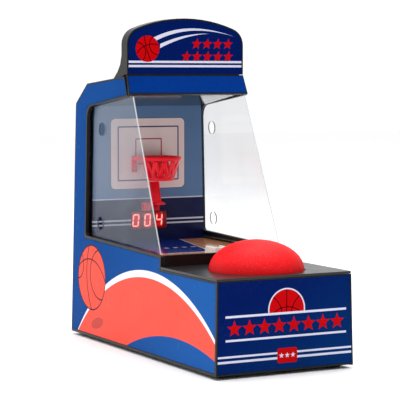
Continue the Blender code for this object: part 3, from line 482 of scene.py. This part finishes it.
def shiny_plastic(name, colour, deep, roughness):
    """Moulded coloured plastic with flow marks, a painted highlight on its edges and a fine grain."""
    s = Surface(name, colour, **{"Specular IOR Level": 0.25})
    s.paint(s.noise(5, 3, stretch=(1, 1, 3)).stretch(0.4, 0.75, 0, 0.3), deep)
    # Painted highlight: the edges are whitened slightly.
    s.paint(s.edges(0.3) * 0.06, (1, 1, 1, 1))
    s.bump(s.noise(0.35, 2) * 0.008 + s.noise(2.2, 2) * 0.014, 0.45)
    return s.done(s.noise(6, 3) * 0.12 + roughness)


HOLE_EDGE_R = 6.6  # millimetres, wide enough to take in a finger hole's wall


def clear_sheet():
    """Thin clear acrylic: it mirrors more at a slant, its cut edges glow, and dust shows faintly."""
    s = Surface("clear_sheet", srgb(206, 210, 214), **{"Metallic": 0.0})
    facing, _, _ = s.axes(s.facing)
    _, y, z = s.axes()
    cut_edge = facing.abs().below(0.5, 0.2)
    shine = cut_edge * 0.85
    for hole_z in FINGER_HOLES_Z:
        # Painted shade: the cut edges round the finger holes are darker grey.
        hole_wall_shade = apart(y, z, (FINGER_HOLE_Y, hole_z)).below(HOLE_EDGE_R)
        s.paint(hole_wall_shade, srgb(84, 88, 94))
    slant = s.node("ShaderNodeLayerWeight")
    mirrored = s.value(slant.outputs["Facing"]).calc("POWER", 4.0) * 0.8 + 0.02
    dust = s.noise(0.7, 3).stretch(0.62, 0.8, 0, 0.05)
    smear = s.noise(22, 4).stretch(0.4, 0.8, 0, 0.02)
    share = ((mirrored + dust + smear) & z.stretch(80, 125, 0.55, 1.0)) | shine
    mirror = s.node("ShaderNodeBsdfGlossy")
    mirror.inputs["Color"].default_value = srgb(232, 240, 252)
    mirror.inputs["Roughness"].default_value = 0.16
    clear = s.node("ShaderNodeBsdfTransparent")
    clear.inputs["Color"].default_value = (0.95, 0.955, 0.96, 1)
    s.done(0.25)
    body = s.node("ShaderNodeMixShader")
    feed(s.tree, body.inputs[0], cut_edge)
    s.link(mirror.outputs[0], body.inputs[1])
    s.link(s.shader.outputs[0], body.inputs[2])
    whole = s.node("ShaderNodeMixShader")
    feed(s.tree, whole.inputs[0], share)
    s.link(clear.outputs[0], whole.inputs[1])
    s.link(body.outputs[0], whole.inputs[2])
    s.link(whole.outputs[0], s.output.inputs["Surface"])
    return s.mat


def display_lens():
    """Dark red filter in front of the lamps, which glows round each digit."""
    s = Surface("display_lens", LENS_RED, **{"Specular IOR Level": 0.2, "Emission Strength": 0.4})
    x, _, z = s.axes()
    s.paint(s.noise(3, 3).stretch(0.35, 0.7, 0, 0.6), srgb(70, 0, 4))
    aside = (x - FIRST_CELL_LEFT).repeat(DIGIT_PITCH).abs()
    s.paint(aside.below(3.0, 1.8) & z.between(81.5, 92.0, 1.2), srgb(206, 0, 16))
    feed(s.tree, s.shader.inputs["Emission Color"], s.colour)
    s.bump(s.noise(0.9, 2) * 0.004, 0.3)
    return s.done(s.noise(4, 3) * 0.08 + 0.12)


def lit_cells():
    """Lit bars of the score: a pale hot red, redder in random patches."""
    s = Surface("lit_cells", srgb(255, 170, 160), **{"Emission Strength": 1.15})
    core = s.noise(1.3, 2).stretch(0.3, 0.7, 0, 1)
    s.paint(core * 0.4, srgb(255, 70, 60))
    feed(s.tree, s.shader.inputs["Emission Color"], s.colour)
    return s.done(s.noise(2, 2) * 0.1 + 0.3)


def steel():
    s = Surface("steel", srgb(196, 198, 202), Metallic=1.0)
    s.paint(s.noise(2, 4).stretch(0.4, 0.7, 0, 0.5), srgb(150, 152, 158))
    brushed = s.noise(0.25, 3, stretch=(8, 1, 1))
    s.bump(brushed * 0.006, 0.5)
    return s.done(brushed * 0.16 + 0.22)


def rubber():
    s = Surface("rubber", srgb(22, 22, 22), **{"Specular IOR Level": 0.25})
    s.paint(s.noise(1.5, 3).stretch(0.4, 0.7, 0, 0.5), srgb(44, 43, 42))
    s.bump(s.noise(0.4, 3) * 0.03, 0.6)
    return s.done(s.noise(1.2, 3) * 0.15 + 0.7)


def circuit_board():
    s = Surface("circuit_board", srgb(18, 92, 48), **{"Coat Weight": 0.3})
    x, _, z = s.axes()
    track = x.repeat(2.4).abs().below(0.35) | z.repeat(3.1).abs().below(0.3)
    s.paint(track & s.noise(5, 1).above(0.5), srgb(50, 140, 84))
    s.paint(s.noise(0.6, 2).stretch(0.5, 0.8, 0, 0.3), srgb(10, 60, 30))
    s.bump(track * 0.03, 0.5)
    return s.done(s.noise(4, 2) * 0.1 + 0.35)


def battery_skin():
    """Printed cell jacket: dark with a copper-coloured band at one end."""
    s = Surface("battery_skin", srgb(34, 36, 40), Metallic=0.6)
    x, _, _ = s.axes()
    s.paint(x.above(12), srgb(190, 120, 60))
    s.paint(x.between(10.8, 12), srgb(220, 220, 220))
    s.paint(s.noise(0.8, 3, stretch=(9, 1, 1)).stretch(0.5, 0.8, 0, 0.3), srgb(90, 90, 94))
    s.bump(s.noise(2, 2) * 0.01, 0.3)
    return s.done(s.noise(3, 2) * 0.1 + 0.28)


def make_materials():
    return {
        "black_plastic": black_plastic("black_plastic", 0.2),
        "side_print": side_print(),
        "front_print": front_print(),
        "header_print": header_print(),
        "court_print": court_print(),
        "wall_print": wall_print(),
        "red_plastic": shiny_plastic("red_plastic", HOOP_RED, srgb(196, 8, 30), 0.28),
        "button_red": dome_red(),
        "clear_sheet": clear_sheet(),
        "display_lens": display_lens(),
        "white_plastic": shiny_plastic("white_plastic", MILK_WHITE, srgb(214, 212, 205), 0.34),
        "rubber": rubber(),
        "steel": steel(),
        "circuit_board": circuit_board(),
        "battery_skin": battery_skin(),
        "lit_cells": lit_cells(),
        "gloss_black": black_plastic("gloss_black", 0.42, 0.05),
        "deck_black": black_plastic("deck_black", 0.42),
    }


# ---------------------------------------------------------------- CAD nodes


# Rounding of each node's edges in millimetres. A node that isn't here is only smoothed.
EDGE_ROUNDING = {
    "side_wall_left": 0.2,
    "side_wall_right": 0.2,
    "console_deck": 0.35,
    "court_lip": 0.35,
    "front_panel": 0.12,
    "header_shell": 0.15,
    "header_apron": 0.12,
    "rear_cover": 0.3,
    "battery_door": 0.25,
    "hoop_bracket": 0.3,
    "lever_bracket": 0.25,
    "score_lever": 0.25,
    "launch_arm": 0.3,
    "switch_knob": 0.2,
    "display_window": 0.2,
    "base_plate": 0.3,
}
SMOOTH_ANGLE = math.radians(32)


# Nodes with another finish than their slot's usual one.
OWN_FINISH = {"ceiling_panel": "gloss_black", "console_deck": "deck_black"}

# Clear sheets keep their flat faces, so that what they mirror isn't bent.
KEPT_FLAT = ("guard_left", "guard_right")


def smooth_node(obj, rounding):
    """Joins the faces of an imported mesh, rounds its sharp edges and smooths its shading."""
    for polygon in obj.data.polygons:
        polygon.use_smooth = True
    weld = obj.modifiers.new("weld", "WELD")
    weld.merge_threshold = 0.001 * MM
    if rounding:
        bevel = obj.modifiers.new("rounding", "BEVEL")
        bevel.width = rounding * MM
        bevel.segments = 3
        bevel.limit_method = "ANGLE"
        bevel.angle_limit = SMOOTH_ANGLE
    shading = obj.modifiers.new("shading", "WEIGHTED_NORMAL")
    shading.weight = 100
    shading.keep_sharp = True


def dress_cad_nodes(materials):
    for name, obj in NODES.items():
        for slot, held in zip(obj.material_slots, list(obj.data.materials)):
            slot.link = "OBJECT"
            slot.material = materials[OWN_FINISH.get(name, held.name.split(".")[0])]
        if name not in KEPT_FLAT:
            smooth_node(obj, EDGE_ROUNDING.get(name, 0))


# ---------------------------------------------------------------- new pieces


def piece(name, mesh_maker, material, body=BODY):
    """An object made by mesh_maker in the row frame, riding on a body."""
    bm = bmesh.new()
    mesh_maker(bm)
    bmesh.ops.remove_doubles(bm, verts=bm.verts, dist=0.001 * MM)
    bmesh.ops.recalc_face_normals(bm, faces=bm.faces)
    mesh = bpy.data.meshes.new(name)
    bm.to_mesh(mesh)
    bm.free()
    for polygon in mesh.polygons:
        polygon.use_smooth = True
    mesh.materials.append(material)
    obj = bpy.data.objects.new(name, mesh)
    bpy.context.scene.collection.objects.link(obj)
    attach(obj, body)
    return obj


def tube(bm, rings, closed=False):
    """Skins rings of equal length. An open tube gets caps."""
    loops = [[bm.verts.new(point) for point in ring] for ring in rings]
    count = len(loops[0])
    pairs = list(zip(loops, loops[1:]))
    if closed:
        pairs.append((loops[-1], loops[0]))
    for near, far in pairs:
        for i in range(count):
            j = (i + 1) % count
            bm.faces.new((near[i], near[j], far[j], far[i]))
    if not closed:
        bm.faces.new(loops[0])
        bm.faces.new(reversed(loops[-1]))


def lathe(bm, profile, centre, segments=72):
    """Turns a closed profile of (radius, height) round a vertical axis."""
    rings = []
    for i in range(segments):
        angle = 2 * math.pi * i / segments
        cos, sin = math.cos(angle), math.sin(angle)
        rings.append([(centre.x + r * cos, centre.y + r * sin, z) for r, z in profile])
    tube(bm, rings, closed=True)


def rounded_profile(inner, outer, low, high, radius, steps=4):
    """A rectangle with rounded corners, as (radius, height) points."""
    points = []
    corners = (
        (outer - radius, low + radius, -90),
        (outer - radius, high - radius, 0),
        (inner + radius, high - radius, 90),
        (inner + radius, low + radius, 180),
    )
    for r, z, start in corners:
        for i in range(steps + 1):
            angle = math.radians(start + 90 * i / steps)
            points.append((r + radius * math.cos(angle), z + radius * math.sin(angle)))
    return points


RIM_H = 3.0 * MM
RIM_WIDTH = 2.0 * MM
NET_TOP_GAP = 1.3 * MM  # the net's top radius is this much less than the rim's
NET_BOTTOM_R = 9.8 * MM
BAND_H = 2.4 * MM
NET_RIBS = 12
RIB_W = 2.9 * MM
RIB_T = 1.2 * MM
RIB_LEAN = 0.25  # a rib turns by twice this share of the step between ribs
RIB_STEPS = 6
RIB_SINK = 0.3 * MM  # into the rim
RIB_SWELL = 0.5 * MM
RIM_ROUNDING = 0.9 * MM
BAND_ROUNDING = 0.4 * MM


def hoop_mesh(bm):
    """A moulded hoop: a rounded rim, a net of leaning ribs, and the ring that holds them below."""
    low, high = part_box("hoop")
    centre = (low + high) / 2
    rim_r = (high.x - low.x) / 2
    net_top = high.z - RIM_H
    lathe(bm, rounded_profile(rim_r - RIM_WIDTH, rim_r, net_top, high.z, RIM_ROUNDING), centre)
    ring = rounded_profile(NET_BOTTOM_R - RIB_T, NET_BOTTOM_R, low.z, low.z + BAND_H, BAND_ROUNDING)
    lathe(bm, ring, centre)
    top = (rim_r - NET_TOP_GAP, net_top + RIB_SINK)
    bottom = (NET_BOTTOM_R, low.z + BAND_H * 0.6 + RIB_SINK)
    reach = 2 * math.pi / NET_RIBS
    for i in range(NET_RIBS):
        for lean in (-RIB_LEAN, RIB_LEAN):
            add_rib(bm, centre, top, bottom, reach * i, reach * lean)


def add_rib(bm, centre, top, bottom, start, lean):
    """A rib of the net, with ends given as (radius, height). It turns by twice the lean on its way down."""
    rings = []
    for step in range(RIB_STEPS + 1):
        share = step / RIB_STEPS
        angle = start + lean * (1 - 2 * share) + lean
        swell = RIB_SWELL * math.sin(math.pi * share)
        r = top[0] + (bottom[0] - top[0]) * share + swell
        z = top[1] + (bottom[1] - top[1]) * share
        radial = Vector((math.cos(angle), math.sin(angle), 0))
        aside = Vector((-math.sin(angle), math.cos(angle), 0))
        middle = Vector((centre.x, centre.y, z)) + radial * (r - RIB_T / 2)
        rings.append(section(middle, radial * RIB_T / 2, aside * RIB_W / 2))
    tube(bm, rings)


def section(middle, half_thick, half_wide):
    """An eight-sided rounded rectangle."""
    corners = ((1, 0.5), (0.5, 1), (-0.5, 1), (-1, 0.5), (-1, -0.5), (-0.5, -1), (0.5, -1), (1, -0.5))
    return [middle + half_thick * a + half_wide * b for a, b in corners]


SPRING_WIRE = 0.5 * MM
SPRING_TURNS = 7
STEPS_PER_TURN = 28
WIRE_SIDES = 10
CLOSED_TURNS = 0.9  # at each end


def spring_mesh(bm):
    """A round-wire compression spring with closed ends."""
    low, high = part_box("button_spring")
    centre = (low + high) / 2
    coil_r = (high.x - low.x) / 2 - SPRING_WIRE
    steps = SPRING_TURNS * STEPS_PER_TURN
    rings = []
    for i in range(steps + 1):
        share = i / steps
        climbed = (share * SPRING_TURNS - CLOSED_TURNS) / (SPRING_TURNS - 2 * CLOSED_TURNS)
        climb = min(max(climbed, 0), 1)
        angle = 2 * math.pi * share * SPRING_TURNS
        z = low.z + SPRING_WIRE + (high.z - low.z - 2 * SPRING_WIRE) * climb
        radial = Vector((math.cos(angle), math.sin(angle), 0))
        middle = Vector((centre.x, centre.y, z)) + radial * coil_r
        up = Vector((0, 0, 1))
        wire = []
        for k in range(WIRE_SIDES):
            turn = 2 * math.pi * k / WIRE_SIDES
            wire.append(middle + (radial * math.cos(turn) + up * math.sin(turn)) * SPRING_WIRE)
        rings.append(wire)
    tube(bm, rings)


DIGITS = "004"
BARS_LIT = {"0": "abcdef", "4": "bcfg"}
DIGIT_W = 5.4 * MM
DIGIT_H = 9.6 * MM
BAR_W = 1.0 * MM
BAR_T = 0.14 * MM
DIGIT_SLANT = 0.08


# Each bar of a seven-bar digit, as its two ends in shares of the digit's width and height
DIGIT_BARS = {
    "a": ((0, 1), (1, 1)),
    "b": ((1, 1), (1, 0.5)),
    "c": ((1, 0.5), (1, 0)),
    "d": ((0, 0), (1, 0)),
    "e": ((0, 0.5), (0, 0)),
    "f": ((0, 1), (0, 0.5)),
    "g": ((0, 0.5), (1, 0.5)),
}
BAR_TRIM = 0.12  # share of BAR_W cut off each end
BAR_SINK = 0.05 * MM  # into the window


def score_mesh(bm):
    """Lit bars of the score, as six-sided plates on the front of the display window."""
    low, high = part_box("display_window")
    base = (low.z + high.z) / 2 - DIGIT_H / 2 + BAR_W * 0.1
    for place, digit in enumerate(DIGITS):
        left = (DIGIT_LEFT + place * DIGIT_PITCH) * MM
        for bar in BARS_LIT[digit]:
            ends = []
            for share_x, share_z in DIGIT_BARS[bar]:
                z = share_z * (DIGIT_H - BAR_W) + BAR_W / 2
                x = share_x * (DIGIT_W - BAR_W) + BAR_W / 2 + z * DIGIT_SLANT
                ends.append(Vector((left + x, low.y, base + z)))
            add_bar(bm, *ends)


def add_bar(bm, start, end):
    along = (end - start).normalized()
    across = Vector((along.z, 0, -along.x)) * BAR_W / 2
    trim = along * BAR_W * BAR_TRIM
    point = along * BAR_W / 2
    start, end = start + trim, end - trim
    outline = (
        start,
        start + point + across,
        end - point + across,
        end,
        end - point - across,
        start + point - across,
    )
    out = Vector((0, -BAR_T, 0))
    back = [bm.verts.new(p + Vector((0, BAR_SINK, 0))) for p in outline]
    front = [bm.verts.new(p + out) for p in outline]
    bm.faces.new(back)
    bm.faces.new(reversed(front))
    for i in range(len(outline)):
        j = (i + 1) % len(outline)
        bm.faces.new((back[i], back[j], front[j], front[i]))


def make_pieces(materials):
    hoop = piece("hoop_moulding", hoop_mesh, materials["red_plastic"])
    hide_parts("hoop")
    spring = piece("coil_spring", spring_mesh, materials["steel"])
    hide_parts("button_spring")
    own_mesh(spring)
    piece("score_bars", score_mesh, materials["lit_cells"])


# ---------------------------------------------------------------- studio


CAMERA_PLACE = (-0.5694, -1.0611, 0.1964)
CAMERA_TURN = (85.78, 0.0, -28.1)
CAMERA_LENS = 152.59
SENSOR = 36.0
FLOOR_HALF = 4.0  # metres


def make_camera():
    data = bpy.data.cameras.new("studio_camera")
    data.lens = CAMERA_LENS
    data.sensor_width = SENSOR
    camera = bpy.data.objects.new("studio_camera", data)
    camera.location = CAMERA_PLACE
    camera.rotation_euler = [math.radians(angle) for angle in CAMERA_TURN]
    bpy.context.scene.collection.objects.link(camera)
    bpy.context.scene.camera = camera


def soft_light(name, place, target, size, power, colour=(1, 1, 1)):
    data = bpy.data.lights.new(name, "AREA")
    data.shape = "DISK"
    data.size = size
    data.energy = power
    data.color = colour
    lamp = bpy.data.objects.new(name, data)
    lamp.location = place
    direction = Vector(target) - Vector(place)
    lamp.rotation_euler = direction.to_track_quat("-Z", "Y").to_euler()
    bpy.context.scene.collection.objects.link(lamp)
    return lamp


def make_world():
    """A white studio that is darker on the side where the photographer stands."""
    world = bpy.data.worlds.new("studio")
    world.use_nodes = True
    tree = world.node_tree
    background = tree.nodes["Background"]
    background.inputs["Color"].default_value = (1, 1, 1, 1)
    coordinates = tree.nodes.new("ShaderNodeTexCoord")
    apart_xyz = tree.nodes.new("ShaderNodeSeparateXYZ")
    tree.links.new(coordinates.outputs["Generated"], apart_xyz.inputs[0])
    right, behind, upward = [Value(tree, output) for output in apart_xyz.outputs]
    level = behind.stretch(-0.6, 0.25, 0.35, 1.05) | upward.stretch(0.1, 0.9, 0.3, 1.2)
    feed(tree, background.inputs["Strength"], level & right.stretch(0.65, 1.0, 1.0, 0.5))
    bpy.context.scene.world = world


def make_floor():
    s = Surface("floor", srgb(252, 252, 252), **{"Specular IOR Level": 0.2})
    s.paint(s.noise(220, 3).stretch(0.3, 0.7, 0, 0.25), srgb(250, 250, 251))
    s.bump(s.noise(3, 3) * 0.02, 0.2)
    material = s.done(s.noise(60, 3) * 0.1 + 0.6)
    bm = bmesh.new()
    bmesh.ops.create_grid(bm, x_segments=8, y_segments=8, size=FLOOR_HALF)
    mesh = bpy.data.meshes.new("floor")
    bm.to_mesh(mesh)
    bm.free()
    mesh.materials.append(material)
    floor = bpy.data.objects.new("floor", mesh)
    bpy.context.scene.collection.objects.link(floor)


def make_studio():
    make_camera()
    make_world()
    make_floor()
    soft_light("key_light", (-0.7, -0.5, 1.2), (0, 0, 0.1), 0.9, 5)
    soft_light("top_light", (0.2, 0.3, 1.5), (0, 0, 0.1), 1.2, 15)
    bpy.context.scene.view_settings.view_transform = "Standard"


make_studio()
MATERIALS = make_materials()
dress_cad_nodes(MATERIALS)
make_pieces(MATERIALS)
